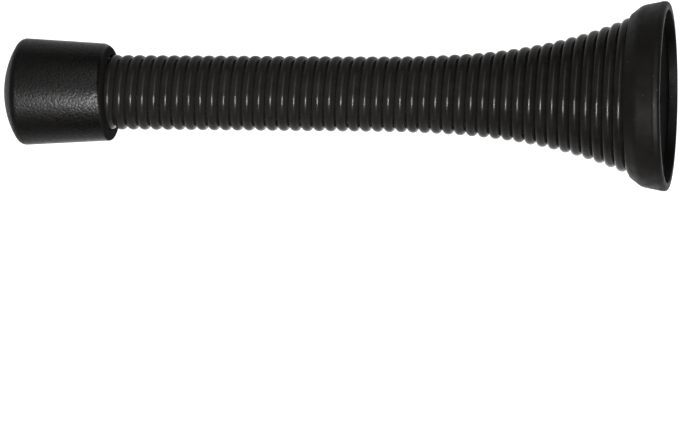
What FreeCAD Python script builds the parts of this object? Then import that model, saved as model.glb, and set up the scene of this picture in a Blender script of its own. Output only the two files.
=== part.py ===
"""Spring door stop: a close-wound wire spring, flared at the wall end, with a rubber tip and a base cup.

Millimetres.  The origin is the centre of the base's back rim, in the plane of the wall.  The stop stands
out from the wall along +X, and +Z is up.
"""
import FreeCAD, Part
import math
import os
import Sketcher

Vector = FreeCAD.Vector

# driving dimensions in mm, angles in degrees
SIZES = {
    # spring, wound left-handed from round wire
    "wire_diameter": 1.42,
    "turn_gap": 0.035,            # least daylight between neighbouring turns
    "coil_diameter": 9.28,        # over the straight barrel
    "barrel_length": 36.18,       # straight part, along the axis
    "flare_length": 36.1,         # trumpet-shaped part, along the axis
    "flare_rise": 5.37,           # how far the end turn stands out from the barrel
    "winding_angle": 44.6,        # turns the whole winding about its axis
    # rubber tip, pushed over the spring's free end
    "tip_length": 13.46,
    "tip_face_diameter": 13.3,    # where the side meets the domed face
    "tip_mouth_diameter": 12.0,
    "tip_dome_radius": 11.6,
    "tip_face_round": 1.0,
    "tip_mouth_round": 1.1,
    "socket_depth": 7.63,
    "socket_clearance": 0.05,
    "socket_lead": 0.12,          # chamfer at the socket's mouth
    # base cup, which holds the spring's flared end
    "mouth_reach": 0.84,          # from the seated turn's centre to the cup's mouth
    "cup_wall": 0.9,              # around the seated turn
    "cup_clearance": 0.05,
    "floor_thickness": 1.8,
    "back_recess": 1.1,
    "wall_taper": 0.42,           # how much wider the wall is at its back than at its shoulder
    "shoulder_length": 1.35,      # coned part of the wall, along the axis
    "shoulder_round": 2.0,
    "lip_thickness": 0.22,        # at the cup's mouth
    "rim_projection": 0.08,       # of the bead around the back
    "rim_width": 0.95,
    "rim_round": 0.4,
    "screw_hole_diameter": 3.0,
}

# values that follow from the driving dimensions; x is measured from the wall
DERIVED = {
    "wire_radius": "Sizes.wire_diameter / 2",
    "barrel_radius": "(Sizes.coil_diameter - Sizes.wire_diameter) / 2",
    "end_slope": "3 * Sizes.flare_rise / Sizes.flare_length",
    "floor_x": "Sizes.back_recess + Sizes.floor_thickness",
    "seat_x": "Derived.floor_x + Sizes.cup_clearance + Derived.wire_radius",
    "base_depth": "Derived.seat_x + Sizes.mouth_reach",
    "mouth_share": "1 - Sizes.mouth_reach / Sizes.flare_length",
    "chamber_radius": "Derived.barrel_radius + Sizes.flare_rise + Sizes.cup_clearance"
                      " + Derived.wire_radius * sqrt(1 + Derived.end_slope ^ 2)",
    "cup_mouth_radius": "Derived.barrel_radius + Sizes.flare_rise * Derived.mouth_share ^ 3"
                        " + Sizes.cup_clearance + Derived.wire_radius"
                        " * sqrt(1 + (Derived.end_slope * Derived.mouth_share ^ 2) ^ 2)",
    "lip_radius": "Derived.cup_mouth_radius + Sizes.lip_thickness",
    "shoulder_x": "Derived.base_depth - Sizes.shoulder_length",
    "shoulder_radius": "Derived.chamber_radius + Sizes.cup_wall",
    "wall_back_radius": "Derived.shoulder_radius + Sizes.wall_taper",
    "rim_radius": "Derived.wall_back_radius + Sizes.rim_projection",
    "rim_foot_x": "Sizes.rim_width + Sizes.rim_projection",
    "recess_radius": "Derived.wall_back_radius - Sizes.cup_wall",
    "spring_length": "Sizes.barrel_length + Sizes.flare_length",
    "tip_x": "Derived.seat_x + Derived.spring_length + Derived.wire_radius + Sizes.socket_clearance"
             " - Sizes.socket_depth",
    "socket_radius": "Sizes.coil_diameter / 2 + Sizes.socket_clearance",
    "tip_face_radius": "Sizes.tip_face_diameter / 2",
    "tip_mouth_radius": "Sizes.tip_mouth_diameter / 2",
}

doc = FreeCAD.newDocument("SpringDoorStop")
sheet = doc.addObject("Spreadsheet::Sheet", "Sizes")
for row, (alias, number) in enumerate(SIZES.items(), start=1):
    sheet.set(f"A{row}", alias.replace("_", " "))
    sheet.set(f"B{row}", str(number))
    sheet.setAlias(f"B{row}", alias)
doc.recompute()

derived = doc.addObject("App::VarSet", "Derived")
for alias, formula in DERIVED.items():
    derived.addProperty("App::PropertyFloat", alias)
    derived.setExpression(alias, formula)
    doc.recompute()


def value(name):
    """The present number of a driving or derived value."""
    return float(getattr(derived if name in DERIVED else sheet, name))


def expression(name):
    """How an expression refers to a driving or derived value."""
    return f"Derived.{name}" if name in DERIVED else f"Sizes.{name}"


def new_body(name):
    body = doc.addObject("PartDesign::Body", name)
    body.Label = name
    return body


def new_sketch(body, name, plane):
    sketch = body.newObject("Sketcher::SketchObject", name)
    support = [item for item in body.Origin.OriginFeatures if item.Role == plane]
    sketch.AttachmentSupport = [(support[0], "")]
    sketch.MapMode = "FlatFace"
    return sketch


def bind(sketch, kind, *where, name):
    """Add a dimension to a sketch and bind it to a named value."""
    index = sketch.addConstraint(Sketcher.Constraint(kind, *where, value(name)))
    sketch.setExpression(f"Constraints[{index}]", expression(name))


def add_section(sketch, corners):
    """Draw a closed section of straight edges; a corner is (x, radius), with None where it is on an axis."""
    points = [Vector(value(x) if x else 0, value(r) if r else 0, 0) for x, r in corners]
    count = len(points)
    for k in range(count):
        sketch.addGeometry(Part.LineSegment(points[k], points[(k + 1) % count]), False)
    for k in range(count):
        sketch.addConstraint(Sketcher.Constraint("Coincident", k, 2, (k + 1) % count, 1))
    for k, (x, r) in enumerate(corners):
        if x:
            bind(sketch, "DistanceX", -1, 1, k, 1, name=x)
        else:
            sketch.addConstraint(Sketcher.Constraint("PointOnObject", k, 1, -2))
        if r:
            bind(sketch, "DistanceY", -1, 1, k, 1, name=r)
        else:
            sketch.addConstraint(Sketcher.Constraint("PointOnObject", k, 1, -1))


def revolve(body, name, sketch):
    turned = body.newObject("PartDesign::Revolution", name)
    turned.Profile = sketch
    turned.ReferenceAxis = (sketch, ["H_Axis"])
    turned.Angle = 360
    doc.recompute()
    return turned


def ring_edges(feature, x, radius):
    """Names of a turned feature's round edges at a place along the axis."""
    names = []
    for index, edge in enumerate(feature.Shape.Edges, start=1):
        if edge.Degenerated or not isinstance(edge.Curve, Part.Circle):
            continue
        if abs(edge.Curve.Radius - radius) < 1e-4 and abs(edge.Curve.Center.x - x) < 1e-4:
            names.append(f"Edge{index}")
    return names


def dress(body, kind, name, rings, formula):
    """Round or chamfer the ring edges of the body's last feature."""
    base = body.Tip
    edges = [edge for x, radius in rings for edge in ring_edges(base, x, radius)]
    feature = body.newObject(f"PartDesign::{kind}", name)
    feature.Base = (base, edges)
    feature.setExpression("Size" if kind == "Chamfer" else "Radius", formula)
    doc.recompute()
    return feature


def build_tip():
    """Rubber tip: a tapered, dome-faced plug with a blind socket; its own x runs from mouth to face."""
    body = new_body("rubber_tip")
    sketch = new_sketch(body, "tip_section", "XZ_Plane")
    length, depth = value("tip_length"), value("socket_depth")
    mouth, face, socket = value("tip_mouth_radius"), value("tip_face_radius"), value("socket_radius")
    dome = value("tip_dome_radius")
    half_angle = math.asin(face / dome)
    centre = Vector(length - dome, 0, 0)
    face_edge = centre + Vector(dome * math.cos(half_angle), face, 0)
    end_face, side, crown, core, socket_floor, bore = range(6)
    sketch.addGeometry(Part.LineSegment(Vector(0, socket, 0), Vector(0, mouth, 0)), False)
    sketch.addGeometry(Part.LineSegment(Vector(0, mouth, 0), face_edge), False)
    sketch.addGeometry(Part.ArcOfCircle(Part.Circle(centre, Vector(0, 0, 1), dome), 0, half_angle), False)
    sketch.addGeometry(Part.LineSegment(Vector(length, 0, 0), Vector(depth, 0, 0)), False)
    sketch.addGeometry(Part.LineSegment(Vector(depth, 0, 0), Vector(depth, socket, 0)), False)
    sketch.addGeometry(Part.LineSegment(Vector(depth, socket, 0), Vector(0, socket, 0)), False)
    joints = [(end_face, 2, side, 1), (side, 2, crown, 2), (crown, 1, core, 1), (core, 2, socket_floor, 1),
              (socket_floor, 2, bore, 1), (bore, 2, end_face, 1)]
    for joint in joints:
        sketch.addConstraint(Sketcher.Constraint("Coincident", *joint))
    for point in ((crown, 3), (core, 1), (core, 2)):
        sketch.addConstraint(Sketcher.Constraint("PointOnObject", *point, -1))
    for point in ((end_face, 1), (end_face, 2)):
        sketch.addConstraint(Sketcher.Constraint("PointOnObject", *point, -2))
    sketch.addConstraint(Sketcher.Constraint("Vertical", socket_floor))
    bind(sketch, "DistanceY", -1, 1, end_face, 1, name="socket_radius")
    bind(sketch, "DistanceY", -1, 1, end_face, 2, name="tip_mouth_radius")
    bind(sketch, "DistanceY", -1, 1, side, 2, name="tip_face_radius")
    bind(sketch, "Radius", crown, name="tip_dome_radius")
    bind(sketch, "DistanceX", -1, 1, core, 1, name="tip_length")
    bind(sketch, "DistanceX", -1, 1, core, 2, name="socket_depth")
    bind(sketch, "DistanceY", -1, 1, socket_floor, 2, name="socket_radius")
    revolve(body, "tip_plug", sketch)
    dress(body, "Fillet", "face_rounding", [(face_edge.x, face)], "Sizes.tip_face_round")
    dress(body, "Fillet", "mouth_rounding", [(0, mouth)],
          "min(Sizes.tip_mouth_round; 0.88 * (Derived.tip_mouth_radius - Derived.socket_radius))")
    dress(body, "Chamfer", "socket_lead_in", [(0, socket)],
          "min(Sizes.socket_lead; 0.1 * (Derived.tip_mouth_radius - Derived.socket_radius))")
    body.setExpression("Placement.Base.x", "Derived.tip_x")
    return body


def build_base():
    """Base cup: a moulded ring with a floor for the screw and a coned mouth that hugs the spring's flare."""
    body = new_body("base_cup")
    section = new_sketch(body, "cup_section", "XZ_Plane")
    add_section(section, [
        ("back_recess", None),
        ("back_recess", "recess_radius"),
        (None, "recess_radius"),
        (None, "rim_radius"),
        ("rim_width", "rim_radius"),
        ("rim_foot_x", "wall_back_radius"),
        ("shoulder_x", "shoulder_radius"),
        ("base_depth", "lip_radius"),
        ("base_depth", "cup_mouth_radius"),
        ("seat_x", "chamber_radius"),
        ("floor_x", "chamber_radius"),
        ("floor_x", None),
    ])
    revolve(body, "cup", section)
    hole_sketch = new_sketch(body, "screw_hole_circle", "YZ_Plane")
    hole_sketch.addGeometry(Part.Circle(Vector(), Vector(0, 0, 1), value("screw_hole_diameter") / 2), False)
    hole_sketch.addConstraint(Sketcher.Constraint("Coincident", 0, 3, -1, 1))
    bind(hole_sketch, "Diameter", 0, name="screw_hole_diameter")
    hole = body.newObject("PartDesign::Pocket", "screw_hole")
    hole.Profile = hole_sketch
    hole.Type = "ThroughAll"
    hole.Reversed = True
    doc.recompute()
    dress(body, "Fillet", "shoulder_rounding", [(value("shoulder_x"), value("shoulder_radius"))],
          "min(Sizes.shoulder_round; 1.6 * Sizes.shoulder_length)")
    dress(body, "Fillet", "lip_rounding", [(value("base_depth"), value("lip_radius"))],
          "0.35 * Sizes.lip_thickness")
    dress(body, "Fillet", "rim_rounding", [(0, value("rim_radius"))],
          "min(Sizes.rim_round; 0.45 * Sizes.rim_width; 0.7 * Sizes.cup_wall)")
    dress(body, "Fillet", "bead_rounding", [(value("rim_width"), value("rim_radius"))],
          "min(Sizes.rim_projection; 0.5 * Sizes.rim_width)")
    return body


def flare(x):
    """The winding's radius at x from the seated end, and its slope there: a cubic trumpet, then a barrel."""
    share = max(0.0, 1 - x / value("flare_length"))
    return value("barrel_radius") + value("flare_rise") * share ** 3, value("end_slope") * share ** 2


def half_turn_points():
    """Where the winding crosses its own XZ plane, evenly spaced along the trumpet's outline."""
    slices = 2000
    dx = value("spring_length") / slices
    outline = [0.0]
    for k in range(slices):
        outline.append(outline[-1] + dx * math.hypot(1, flare((k + 0.5) * dx)[1]))
    pitch = value("wire_diameter") + value("turn_gap")
    count = math.floor(outline[-1] / (pitch / 2))
    points = []
    k = 0
    for n in range(count + 1):
        along = outline[-1] * n / count
        while k < slices - 1 and outline[k + 1] < along:
            k += 1
        x = dx * (k + (along - outline[k]) / (outline[k + 1] - outline[k]))
        points.append(Vector(x, 0, (-1) ** n * flare(x)[0]))
    return points


def build_spring():
    """Coil spring: round wire swept along half-turn arcs that meet tangentially, so each turn is round."""
    points = half_turn_points()
    arcs = []
    for n, (start, end) in enumerate(zip(points, points[1:])):
        side = Vector(0, (-1) ** n * start.distanceToPoint(end) / 2, 0)
        arcs.append(Part.Arc(start, (start + end) * 0.5 + side, end).toShape())
    centreline = doc.addObject("Part::Feature", "spring_centreline")
    centreline.Shape = Part.Wire(arcs)
    turned = FreeCAD.Rotation(Vector(1, 0, 0), value("winding_angle"))
    centreline.Placement = FreeCAD.Placement(Vector(value("seat_x"), 0, 0), turned)
    section = doc.addObject("Part::Circle", "wire_section")
    section.setExpression("Radius", "Derived.wire_radius")
    square_to_wire = turned.multiply(FreeCAD.Rotation(Vector(0, 0, 1), Vector(0, 1, 0)))
    section.Placement = FreeCAD.Placement(centreline.Placement.multVec(points[0]), square_to_wire)
    spring = doc.addObject("Part::Sweep", "coil_spring")
    spring.Label = "coil_spring"
    spring.Sections = [section]
    spring.Spine = (centreline, [f"Edge{n}" for n in range(1, len(arcs) + 1)])
    spring.Solid = True
    spring.Frenet = True
    return spring


pieces = [build_tip(), build_spring(), build_base()]
doc.recompute()

for item in doc.Objects:
    if "Invalid" in item.State or "Error" in item.State:
        raise RuntimeError(f"{item.Name} failed: {item.State}")
for piece in pieces:
    if piece.Shape.isNull() or not piece.Shape.isValid():
        raise RuntimeError(f"{piece.Label} has no valid shape")

os.makedirs("parts", exist_ok=True)
for piece in pieces:
    piece.Shape.exportStep(f"parts/{piece.Label}.step")
    box = piece.Shape.optimalBoundingBox()
    extent = f"x {box.XMin:.2f} to {box.XMax:.2f}, across {box.YLength:.2f}"
    print(f"{piece.Label}: {piece.Shape.Volume:.1f} mm3, {extent}")
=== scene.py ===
import math

import bmesh
import bpy
from mathutils import Matrix, Vector


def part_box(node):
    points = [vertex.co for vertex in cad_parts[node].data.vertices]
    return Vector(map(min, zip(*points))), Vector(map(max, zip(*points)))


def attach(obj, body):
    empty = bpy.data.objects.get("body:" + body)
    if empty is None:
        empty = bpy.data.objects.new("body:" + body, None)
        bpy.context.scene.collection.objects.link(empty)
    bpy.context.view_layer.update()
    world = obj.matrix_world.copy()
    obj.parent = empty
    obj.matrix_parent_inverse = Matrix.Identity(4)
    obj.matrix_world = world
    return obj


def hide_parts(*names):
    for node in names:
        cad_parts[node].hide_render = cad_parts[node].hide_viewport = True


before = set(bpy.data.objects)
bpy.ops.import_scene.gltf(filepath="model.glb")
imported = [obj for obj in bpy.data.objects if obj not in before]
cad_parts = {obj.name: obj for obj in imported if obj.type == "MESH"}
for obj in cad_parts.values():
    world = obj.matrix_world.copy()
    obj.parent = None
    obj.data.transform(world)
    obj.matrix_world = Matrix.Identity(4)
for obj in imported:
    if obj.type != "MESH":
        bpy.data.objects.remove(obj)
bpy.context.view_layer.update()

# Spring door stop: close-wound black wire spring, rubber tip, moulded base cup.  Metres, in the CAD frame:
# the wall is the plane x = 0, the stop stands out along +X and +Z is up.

MM = 0.001

# meshes
OUTLINE_SLICES = 2000               # steps that measure the trumpet's outline
ARC_STEPS = 24                      # rings along each half turn of the wire
WIRE_SIDES = 20                     # points around the wire
LATHE_SEGMENTS = 192                # points around a turned piece
ROUND_STEPS = 8                     # steps around a rounded corner
DOME_STEPS = 12
SHARP_ANGLE = math.radians(35)      # edges that bend more than this stay sharp

# spring
WIRE_RADIUS = 0.71 * MM
TURN_GAP = 0.035 * MM
BARREL_RADIUS = 3.93 * MM           # of the winding's centreline
BARREL_LENGTH = 36.18 * MM
FLARE_LENGTH = 36.1 * MM
FLARE_RISE = 5.37 * MM
SEAT_X = 3.66 * MM                  # centre of the wire at the seated end
WINDING_ANGLE = math.radians(44.6)
FULLNESS = 2.15                     # paint fills the wire's section out a little; 2 is a circle

# rubber tip
TIP_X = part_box("rubber_tip")[0].x
TIP_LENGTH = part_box("rubber_tip")[1].x - TIP_X
TIP_FACE_RADIUS = 6.65 * MM
TIP_MOUTH_RADIUS = 6.0 * MM
TIP_DOME_RADIUS = 11.6 * MM
TIP_FACE_ROUND = 1.0 * MM
TIP_MOUTH_ROUND = 0.82 * MM         # of the mouth's outer edge, on average
MOUTH_ROUND_SWING = 0.42 * MM       # the moulding is rounder on one side than on the other
SOCKET_RADIUS = 4.69 * MM
SOCKET_DEPTH = 7.63 * MM
SOCKET_LEAD = 0.06 * MM
DOME_SHARE = 0.8                    # of the dome's half angle, inside the rounded edge

# base cup
BASE_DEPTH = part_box("base_cup")[1].x
RIM_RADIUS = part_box("base_cup")[1].y
RIM_WIDTH = 0.95 * MM
RIM_PEAK = 0.75 * MM                # where the bead around the back begins to fall
RIM_PROJECTION = 0.08 * MM
RIM_ROUND = 0.4 * MM
RIM_PEAK_ROUND = 0.22 * MM
RIM_FOOT_ROUND = 0.15 * MM
CHAMBER_RADIUS = 10.128 * MM
CUP_MOUTH_RADIUS = 9.756 * MM
SHOULDER_RADIUS = 11.028 * MM
SHOULDER_X = 3.15 * MM
SHOULDER_ROUND = 2.0 * MM
LIP_RADIUS = 9.976 * MM
LIP_ROUND = 0.05 * MM
MOUTH_GAP = 0.12 * MM               # a shadow line around the spring
RECESS_RADIUS = 10.548 * MM
BACK_RECESS = 1.1 * MM
FLOOR_X = 2.9 * MM
SCREW_HOLE_RADIUS = 1.5 * MM
EDGE_ROUND = 0.12 * MM

# colours; noise mixes the two of a pair
BARREL_PAINT = (0.0125, 0.0115, 0.0104), (0.019, 0.0178, 0.0165)
# the flare's wire is coloured darker than the barrel's
FLARE_DARKER_COLOUR = (0.0080, 0.0073, 0.0065), (0.0130, 0.0121, 0.0111)
COLOUR_CHANGE = 8.0 * MM, 34.0 * MM  # along the axis, from the flare's darker colour to the barrel's
# painted light: a paler colour in the barrel's grooves stands in for light where the shade between the turns
# falls
GROOVE_PAINTED_LIGHT = (0.038, 0.0355, 0.0325)
GROOVE = 0.1, 0.85                  # how far the wire faces outward, from deep in a groove to out of it
RUBBER = (0.0022, 0.0019, 0.0016), (0.0036, 0.0031, 0.0027)
MATT_MOUTH = TIP_X + 0.2 * MM, TIP_X + 0.6 * MM
POLISH = TIP_X + 1.0 * MM, TIP_X + 11.0 * MM  # the tip grows rougher towards its face
PLASTIC = (0.0044, 0.0038, 0.0033), (0.0074, 0.0066, 0.0059)
PLASTIC_SPECK = (0.06, 0.056, 0.052)
SPECK = 0.8, 0.86                   # only the noise's rare peaks are specks
RECESS = (0.0075, 0.0069, 0.0063), (0.0115, 0.0107, 0.0099)
NOISE_RANGE = 0.3, 0.7              # a noise's usual values

# camera, matched to a 680 x 425 image
IMAGE_WIDTH = 680
SENSOR_WIDTH = 36.0
PIXELS_PER_METRE = 8148             # at the aimed point
CAMERA_DISTANCE = 0.53
NEAR_CLIP = 0.01
VIEW_TILT = math.radians(10.0)      # the camera leans towards the wall end
CAMERA_ROLL = math.radians(0.7)
AIM_X = 40.26 * MM                  # point of the axis on the image's middle column
AXIS_ABOVE_MIDDLE = 14.56 * MM      # the stop lies above the middle of the image

# floor and light
FLOOR_DROP = 250 * MM
FLOOR_SIZE = 3.0
FLOOR_COLOUR = (0.7, 0.7, 0.7)
FLOOR_LIFT = 0.72                   # glow that brings the floor up to white where the camera looks
PAINTED_POOL_RADIUS = 85 * MM               # of the painted pool of light in the floor's middle
PAINTED_POOL_FADE = 60 * MM
WORLD_LEVEL = 0.05
SIDE_LEVEL = 0.22                   # of the room beyond the tip
SIDE_RANGE = -0.1, 0.8              # it rises towards the tip's end of the room
STRIP_LEVEL = 3.2                   # of the pale strip overhead
STRIP_WIDTH = 0.2
STRIP_RANGE = 0.25, 0.95            # it fades towards the horizon
STRIP_LEAN = 0.08
KEY_DIRECTION = (-0.05, 0.42, 0.90)
KEY_DISTANCE = 0.6
KEY_SIZE = 0.1, 0.24
KEY_POWER = 3.2


def link(name, data):
    """Put a mesh, camera or lamp into the scene."""
    thing = bpy.data.objects.new(name, data)
    bpy.context.scene.collection.objects.link(thing)
    return thing


def finish_mesh(mesh, name):
    """Turn a bmesh into a smooth-shaded piece."""
    data = bpy.data.meshes.new(name)
    mesh.to_mesh(data)
    mesh.free()
    data.shade_smooth()
    data.set_sharp_from_angle(angle=SHARP_ANGLE)
    return link(name, data)


def flare_radius(x):
    """Radius of the winding's centreline, x from the seated end."""
    share = max(0.0, 1 - x / FLARE_LENGTH)
    return BARREL_RADIUS + FLARE_RISE * share ** 3


def flare_slope(x):
    """How fast that radius falls."""
    share = max(0.0, 1 - x / FLARE_LENGTH)
    return 3 * FLARE_RISE / FLARE_LENGTH * share ** 2


def half_turn_points():
    """Where the winding crosses its own XZ plane, evenly spaced along the trumpet's outline."""
    dx = (BARREL_LENGTH + FLARE_LENGTH) / OUTLINE_SLICES
    outline = [0.0]
    for k in range(OUTLINE_SLICES):
        outline.append(outline[-1] + dx * math.hypot(1, flare_slope((k + 0.5) * dx)))
    count = math.floor(outline[-1] / (WIRE_RADIUS + TURN_GAP / 2))
    points = []
    k = 0
    for n in range(count + 1):
        along = outline[-1] * n / count
        while k < OUTLINE_SLICES - 1 and outline[k + 1] < along:
            k += 1
        x = dx * (k + (along - outline[k]) / (outline[k + 1] - outline[k]))
        points.append(Vector((x, 0, (-1) ** n * flare_radius(x))))
    return points


def build_spring():
    """One wire wound in half-turn arcs; each vertex keeps how far it faces outward, for the painted light
    that brightens the grooves.
    """
    points = half_turn_points()
    winding = Matrix.Rotation(WINDING_ANGLE, 3, "X")
    mesh = bmesh.new()
    outwardness = mesh.verts.layers.float.new("outward")
    previous = None
    for n, (start, end) in enumerate(zip(points, points[1:])):
        centre = (start + end) / 2
        radial = start - centre
        sideways = Vector((0, (-1) ** n * radial.length, 0))
        normal = radial.cross(sideways).normalized()
        last = n == len(points) - 2
        for step in range(ARC_STEPS + (1 if last else 0)):
            angle = math.pi * step / ARC_STEPS
            outward = (radial * math.cos(angle) + sideways * math.sin(angle)).normalized()
            middle = centre + outward * radial.length + Vector((SEAT_X, 0, 0))
            tangent = normal.cross(outward)
            across = Vector((1, 0, 0)) - outward * outward.x
            across = (across - tangent * across.dot(tangent)).normalized()
            ring = []
            for side in range(WIRE_SIDES):
                turn = 2 * math.pi * side / WIRE_SIDES
                spread = abs(math.cos(turn)) ** FULLNESS + abs(math.sin(turn)) ** FULLNESS
                around = (outward * math.cos(turn) + across * math.sin(turn)) / spread ** (1 / FULLNESS)
                vertex = mesh.verts.new(winding @ (middle + around * WIRE_RADIUS))
                vertex[outwardness] = math.cos(turn)
                ring.append(vertex)
            if previous:
                for side in range(WIRE_SIDES):
                    after = (side + 1) % WIRE_SIDES
                    mesh.faces.new((previous[side], previous[after], ring[after], ring[side]))
            else:
                mesh.faces.new(ring)
            previous = ring
    mesh.faces.new(previous[::-1])
    bmesh.ops.recalc_face_normals(mesh, faces=mesh.faces)
    return finish_mesh(mesh, "spring_wire")


def rounded(corners):
    """A polyline of (x, radius) points with some corners rounded; each corner is (x, radius, rounding)."""
    outline = []
    count = len(corners)
    for k, (x, r, rounding) in enumerate(corners):
        here = Vector((x, r))
        if not rounding:
            outline.append(here)
            continue
        before = (Vector(corners[k - 1][:2]) - here).normalized()
        after = (Vector(corners[(k + 1) % count][:2]) - here).normalized()
        half = before.angle(after) / 2
        centre = here + (before + after).normalized() * rounding / math.sin(half)
        first = here + before * rounding / math.tan(half) - centre
        last = here + after * rounding / math.tan(half) - centre
        sweep = math.pi - 2 * half
        for step in range(ROUND_STEPS + 1):
            t = step / ROUND_STEPS
            spoke = first * math.sin((1 - t) * sweep) + last * math.sin(t * sweep)
            outline.append(centre + spoke / math.sin(sweep))
    return outline


def lathe(outline_at, name):
    """Turn the outline that each angle has about the X axis; its ends lie on the axis or it is closed."""
    mesh = bmesh.new()
    angles = [2 * math.pi * k / LATHE_SEGMENTS for k in range(LATHE_SEGMENTS)]
    rings = []
    for ring in zip(*[outline_at(a) for a in angles]):
        if ring[0].y < 1e-7:
            rings.append([mesh.verts.new((ring[0].x, 0, 0))])
            continue
        rings.append([mesh.verts.new((p.x, p.y * math.cos(a), p.y * math.sin(a)))
                      for p, a in zip(ring, angles)])
    closed = len(rings[0]) > 1
    pairs = list(zip(rings, rings[1:])) + ([(rings[-1], rings[0])] if closed else [])
    for one, two in pairs:
        for k in range(LATHE_SEGMENTS):
            after = (k + 1) % LATHE_SEGMENTS
            if len(one) == 1:
                mesh.faces.new((one[0], two[k], two[after]))
            elif len(two) == 1:
                mesh.faces.new((one[k], two[0], one[after]))
            else:
                mesh.faces.new((one[k], two[k], two[after], one[after]))
    bmesh.ops.recalc_face_normals(mesh, faces=mesh.faces)
    return finish_mesh(mesh, name)


def build_tip():
    """Tapered rubber tip with a domed face and a blind socket."""
    dome_x = TIP_X + TIP_LENGTH - TIP_DOME_RADIUS

    def on_dome(angle):
        return Vector((dome_x + TIP_DOME_RADIUS * math.cos(angle), TIP_DOME_RADIUS * math.sin(angle)))

    half_angle = math.asin(TIP_FACE_RADIUS / TIP_DOME_RADIUS)
    inner_angle = half_angle * DOME_SHARE
    edge_x = on_dome(half_angle).x
    inner_x, inner_r = on_dome(inner_angle)
    dome = [on_dome(inner_angle * (1 - k / DOME_STEPS)) for k in range(DOME_STEPS + 1)]

    def outline_at(angle):
        side = rounded([
            (TIP_X + SOCKET_DEPTH, 0.0, 0),
            (TIP_X + SOCKET_DEPTH, SOCKET_RADIUS, 0),
            (TIP_X + SOCKET_LEAD, SOCKET_RADIUS, 0),
            (TIP_X, SOCKET_RADIUS + SOCKET_LEAD, 0),
            (TIP_X, TIP_MOUTH_RADIUS, TIP_MOUTH_ROUND - MOUTH_ROUND_SWING * math.cos(angle)),
            (edge_x, TIP_FACE_RADIUS, TIP_FACE_ROUND),
            (inner_x, inner_r, 0),
        ])
        return side[:-1] + dome

    return lathe(outline_at, "tip_rubber")


def build_base():
    """Moulded cup; the floor of the recess in its back takes the second material."""
    outline = rounded([
        (BACK_RECESS, SCREW_HOLE_RADIUS, EDGE_ROUND),
        (BACK_RECESS, RECESS_RADIUS, EDGE_ROUND),
        (0.0, RECESS_RADIUS, EDGE_ROUND),
        (0.0, RIM_RADIUS, RIM_ROUND),
        (RIM_PEAK, RIM_RADIUS, RIM_PEAK_ROUND),
        (RIM_WIDTH + RIM_PROJECTION, RIM_RADIUS - RIM_PROJECTION, RIM_FOOT_ROUND),
        (SHOULDER_X, SHOULDER_RADIUS, SHOULDER_ROUND),
        (BASE_DEPTH, LIP_RADIUS, LIP_ROUND),
        (BASE_DEPTH, CUP_MOUTH_RADIUS + MOUTH_GAP, 0),
        (SEAT_X, CHAMBER_RADIUS, 0),
        (FLOOR_X, CHAMBER_RADIUS, 0),
        (FLOOR_X, SCREW_HOLE_RADIUS, EDGE_ROUND),
    ])
    base = lathe(lambda angle: outline, "base_moulding")
    for face in base.data.polygons:
        if abs(face.center.x - BACK_RECESS) < EDGE_ROUND and face.normal.x < -0.5:
            face.material_index = 1
    return base


def new_material(name, roughness, specular):
    """A material with its node tree and its shader."""
    material = bpy.data.materials.new(name)
    material.use_nodes = True
    tree = material.node_tree
    shader = tree.nodes["Principled BSDF"]
    shader.inputs["Roughness"].default_value = roughness
    shader.inputs["Specular IOR Level"].default_value = specular
    return material, tree, shader


def coordinate(tree, space, axis):
    """One coordinate of a point, in a space of the Texture Coordinate node."""
    place = tree.nodes.new("ShaderNodeTexCoord")
    split = tree.nodes.new("ShaderNodeSeparateXYZ")
    tree.links.new(place.outputs[space], split.inputs[0])
    return split.outputs[axis]


def add_noise(tree, size, detail=2.0):
    """Noise over the piece whose features are about one size across, in metres."""
    place = tree.nodes.new("ShaderNodeTexCoord")
    noise = tree.nodes.new("ShaderNodeTexNoise")
    noise.inputs["Scale"].default_value = 1 / size
    noise.inputs["Detail"].default_value = detail
    tree.links.new(place.outputs["Object"], noise.inputs["Vector"])
    return noise.outputs["Fac"]


def remap(tree, source, low, high, span=NOISE_RANGE):
    """Spread a span of the source's values over low to high, and no further."""
    spread = tree.nodes.new("ShaderNodeMapRange")
    for name, number in zip(("From Min", "From Max", "To Min", "To Max"), (*span, low, high)):
        spread.inputs[name].default_value = number
    tree.links.new(source, spread.inputs["Value"])
    return spread.outputs["Result"]


def blend(tree, share, one, two):
    """Mix two colours by a share."""
    mix = tree.nodes.new("ShaderNodeMix")
    mix.data_type = "RGBA"
    colours = [socket for socket in mix.inputs if socket.type == "RGBA"]
    for socket, colour in zip(colours, (one, two)):
        if isinstance(colour, tuple):
            socket.default_value = (*colour, 1)
        else:
            tree.links.new(colour, socket)
    tree.links.new(share, mix.inputs["Factor"])
    return [socket for socket in mix.outputs if socket.type == "RGBA"][0]


def arithmetic(tree, operation, *terms, clamp=True):
    """One step of arithmetic on signals and numbers, kept between 0 and 1 unless told otherwise."""
    node = tree.nodes.new("ShaderNodeMath")
    node.operation = operation
    node.use_clamp = clamp
    for socket, term in zip(node.inputs, terms):
        if isinstance(term, float):
            socket.default_value = term
        else:
            tree.links.new(term, socket)
    return node.outputs[0]


def add_bump(tree, shader, layers):
    """Raise a surface by noise layers; each is (height signal, height in metres)."""
    previous = None
    for height, rise in layers:
        bump = tree.nodes.new("ShaderNodeBump")
        bump.inputs["Distance"].default_value = rise
        tree.links.new(height, bump.inputs["Height"])
        if previous:
            tree.links.new(previous, bump.inputs["Normal"])
        previous = bump.outputs["Normal"]
    tree.links.new(previous, shader.inputs["Normal"])


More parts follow.
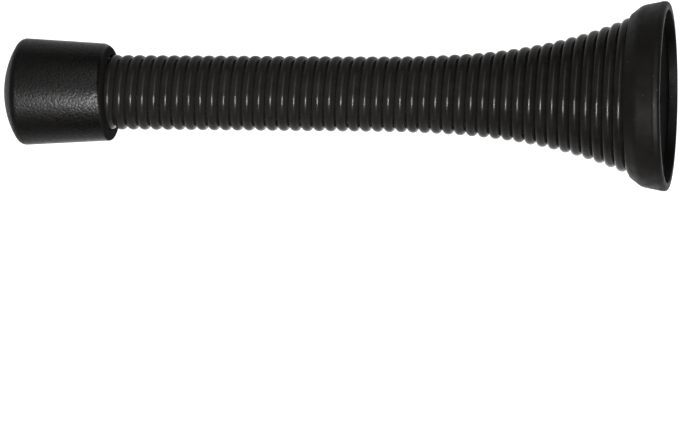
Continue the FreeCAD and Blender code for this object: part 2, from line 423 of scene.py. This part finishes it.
def wire_material():
    """Black paint over steel wire: semi-gloss, a little uneven, coloured darker on the flare, with painted
    light that brightens the barrel's grooves.
    """
    material, tree, shader = new_material("black_wire_paint", roughness=0.22, specular=0.18)
    patches = remap(tree, add_noise(tree, 1.6 * MM), 0.0, 1.0)
    barrel = remap(tree, coordinate(tree, "Object", "X"), 0.0, 1.0, COLOUR_CHANGE)
    paint = blend(tree, barrel, blend(tree, patches, *FLARE_DARKER_COLOUR), blend(tree, patches, *BARREL_PAINT))
    outward = tree.nodes.new("ShaderNodeAttribute")
    outward.attribute_name = "outward"
    groove = remap(tree, outward.outputs["Fac"], 1.0, 0.0, GROOVE)
    # painted light: the colour is raised deep in the barrel's grooves, where shade falls between the turns
    groove_light = arithmetic(tree, "MULTIPLY", groove, barrel)
    tree.links.new(blend(tree, groove_light, paint, GROOVE_PAINTED_LIGHT), shader.inputs["Base Color"])
    gloss = add_noise(tree, 0.7 * MM, 3.0)
    tree.links.new(remap(tree, gloss, 0.15, 0.28), shader.inputs["Roughness"])
    add_bump(tree, shader, [(add_noise(tree, 0.9 * MM), 0.02 * MM),
                            (add_noise(tree, 0.12 * MM), 0.004 * MM)])
    return material


def rubber_material():
    """Moulded rubber: almost black, with a fine grain that breaks up the highlight."""
    material, tree, shader = new_material("black_rubber", roughness=0.3, specular=0.25)
    patches = remap(tree, add_noise(tree, 2.5 * MM), 0.0, 1.0)
    tree.links.new(blend(tree, patches, *RUBBER), shader.inputs["Base Color"])
    grain = add_noise(tree, 0.28 * MM, 3.0)
    along = coordinate(tree, "Object", "X")
    mouth = remap(tree, along, 1.0, 0.0, MATT_MOUTH)
    polish = remap(tree, along, 0.0, 0.1, POLISH)
    sheen = arithmetic(tree, "ADD", remap(tree, grain, 0.17, 0.40), polish)
    tree.links.new(arithmetic(tree, "MAXIMUM", sheen, mouth), shader.inputs["Roughness"])
    add_bump(tree, shader, [(grain, 0.05 * MM), (add_noise(tree, 1.5 * MM), 0.02 * MM)])
    return material


def plastic_material():
    """Moulded plastic: satin black with faint flow marks and a few pale specks."""
    material, tree, shader = new_material("black_plastic", roughness=0.45, specular=0.2)
    patches = remap(tree, add_noise(tree, 3.0 * MM), 0.0, 1.0)
    specks = remap(tree, add_noise(tree, 0.45 * MM, 0.0), 0.0, 0.6, SPECK)
    plain = blend(tree, patches, *PLASTIC)
    tree.links.new(blend(tree, specks, plain, PLASTIC_SPECK), shader.inputs["Base Color"])
    gloss = add_noise(tree, 1.2 * MM, 3.0)
    tree.links.new(remap(tree, gloss, 0.38, 0.54), shader.inputs["Roughness"])
    add_bump(tree, shader, [(add_noise(tree, 2.2 * MM), 0.03 * MM),
                            (add_noise(tree, 0.15 * MM), 0.004 * MM)])
    return material


def recess_material():
    """The same plastic left rough inside the base's back, where it reads darker."""
    material, tree, shader = new_material("black_plastic_recess", roughness=1.0, specular=0.05)
    patches = remap(tree, add_noise(tree, 1.0 * MM), 0.0, 1.0)
    tree.links.new(blend(tree, patches, *RECESS), shader.inputs["Base Color"])
    tree.links.new(remap(tree, add_noise(tree, 0.3 * MM), 0.85, 1.0), shader.inputs["Roughness"])
    add_bump(tree, shader, [(add_noise(tree, 0.3 * MM), 0.02 * MM)])
    return material


def add_camera():
    """The photograph's view: almost straight down on the stop, with the tip on the left."""
    camera = bpy.data.cameras.new("photo_camera")
    camera.sensor_width = SENSOR_WIDTH
    camera.lens = SENSOR_WIDTH * PIXELS_PER_METRE * CAMERA_DISTANCE / IMAGE_WIDTH
    camera.clip_start = NEAR_CLIP
    back = Vector((-math.sin(VIEW_TILT), 0, math.cos(VIEW_TILT)))
    right = Vector((-math.cos(VIEW_TILT), 0, -math.sin(VIEW_TILT)))
    up = back.cross(right)
    place = Vector((AIM_X, 0, 0)) + back * CAMERA_DISTANCE - up * AXIS_ABOVE_MIDDLE
    rolled_right = right * math.cos(CAMERA_ROLL) + up * math.sin(CAMERA_ROLL)
    rolled_up = up * math.cos(CAMERA_ROLL) - right * math.sin(CAMERA_ROLL)
    axes = Matrix((rolled_right, rolled_up, back)).transposed().to_4x4()
    eye = link("photo_camera", camera)
    eye.matrix_world = Matrix.Translation(place) @ axes
    bpy.context.scene.camera = eye


def add_key():
    """One soft lamp above the stop, to the lower side of the image."""
    lamp = bpy.data.lights.new("key", "AREA")
    lamp.shape = "RECTANGLE"
    lamp.size, lamp.size_y = KEY_SIZE
    lamp.energy = KEY_POWER
    away = Vector(KEY_DIRECTION).normalized()
    holder = link("key", lamp)
    holder.location = Vector((AIM_X, 0, 0)) + away * KEY_DISTANCE
    holder.rotation_euler = away.to_track_quat("Z", "Y").to_euler()


def add_floor():
    """A plain pale floor well below the stop, brought up to white by a painted pool of glow where the camera
    looks.
    """
    mesh = bmesh.new()
    bmesh.ops.create_grid(mesh, x_segments=1, y_segments=1, size=FLOOR_SIZE)
    data = bpy.data.meshes.new("floor")
    mesh.to_mesh(data)
    mesh.free()
    floor = link("floor", data)
    eye = bpy.context.scene.camera.matrix_world
    ahead = eye.to_3x3() @ Vector((0, 0, -1))
    floor.location = eye.translation + ahead * (eye.translation.z + FLOOR_DROP) / -ahead.z
    material, tree, shader = new_material("floor_white", roughness=0.9, specular=0.25)
    shader.inputs["Base Color"].default_value = (*FLOOR_COLOUR, 1)
    place = tree.nodes.new("ShaderNodeTexCoord")
    distance = tree.nodes.new("ShaderNodeVectorMath")
    distance.operation = "LENGTH"
    tree.links.new(place.outputs["Object"], distance.inputs[0])
    # painted light: the floor glows in a pool under the stop and fades to its plain colour outside it
    painted_pool = remap(tree, distance.outputs["Value"], FLOOR_LIFT, 0.0, (PAINTED_POOL_RADIUS, PAINTED_POOL_RADIUS + PAINTED_POOL_FADE))
    path = tree.nodes.new("ShaderNodeLightPath")
    seen = arithmetic(tree, "ADD", path.outputs["Is Camera Ray"], path.outputs["Is Glossy Ray"])
    seen = arithmetic(tree, "ADD", seen, path.outputs["Is Transmission Ray"])
    shader.inputs["Emission Color"].default_value = (1, 1, 1, 1)
    tree.links.new(arithmetic(tree, "MULTIPLY", seen, painted_pool), shader.inputs["Emission Strength"])
    data.materials.append(material)


def add_world():
    """A dim room with one pale strip overhead, across the stop."""
    world = bpy.data.worlds.new("studio")
    world.use_nodes = True
    bpy.context.scene.world = world
    tree = world.node_tree
    x, z = (coordinate(tree, "Generated", axis) for axis in "XZ")
    aside = arithmetic(tree, "ADD", x, STRIP_LEAN, clamp=False)
    off = arithmetic(tree, "ABSOLUTE", aside, clamp=False)
    strip = remap(tree, off, 1.0, 0.0, (0.0, STRIP_WIDTH))
    high = remap(tree, z, 0.0, 1.0, STRIP_RANGE)
    level = remap(tree, arithmetic(tree, "MULTIPLY", strip, high), 0.0, STRIP_LEVEL, (0.0, 1.0))
    side = remap(tree, x, WORLD_LEVEL, SIDE_LEVEL, SIDE_RANGE)
    background = tree.nodes["Background"]
    background.inputs["Color"].default_value = (1, 1, 1, 1)
    tree.links.new(arithmetic(tree, "ADD", level, side, clamp=False), background.inputs["Strength"])


def dress(piece, node, slot, *materials):
    """Give a piece its materials and its place in the frame."""
    for material in materials:
        piece.data.materials.append(material)
    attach(piece, "root")
    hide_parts(node)


add_camera()
add_world()
add_floor()
add_key()

dress(build_spring(), "coil_spring", "black_wire", wire_material())
dress(build_tip(), "rubber_tip", "black_rubber", rubber_material())
dress(build_base(), "base_cup", "black_plastic", plastic_material(), recess_material())

bpy.context.scene.view_settings.view_transform = "Standard"
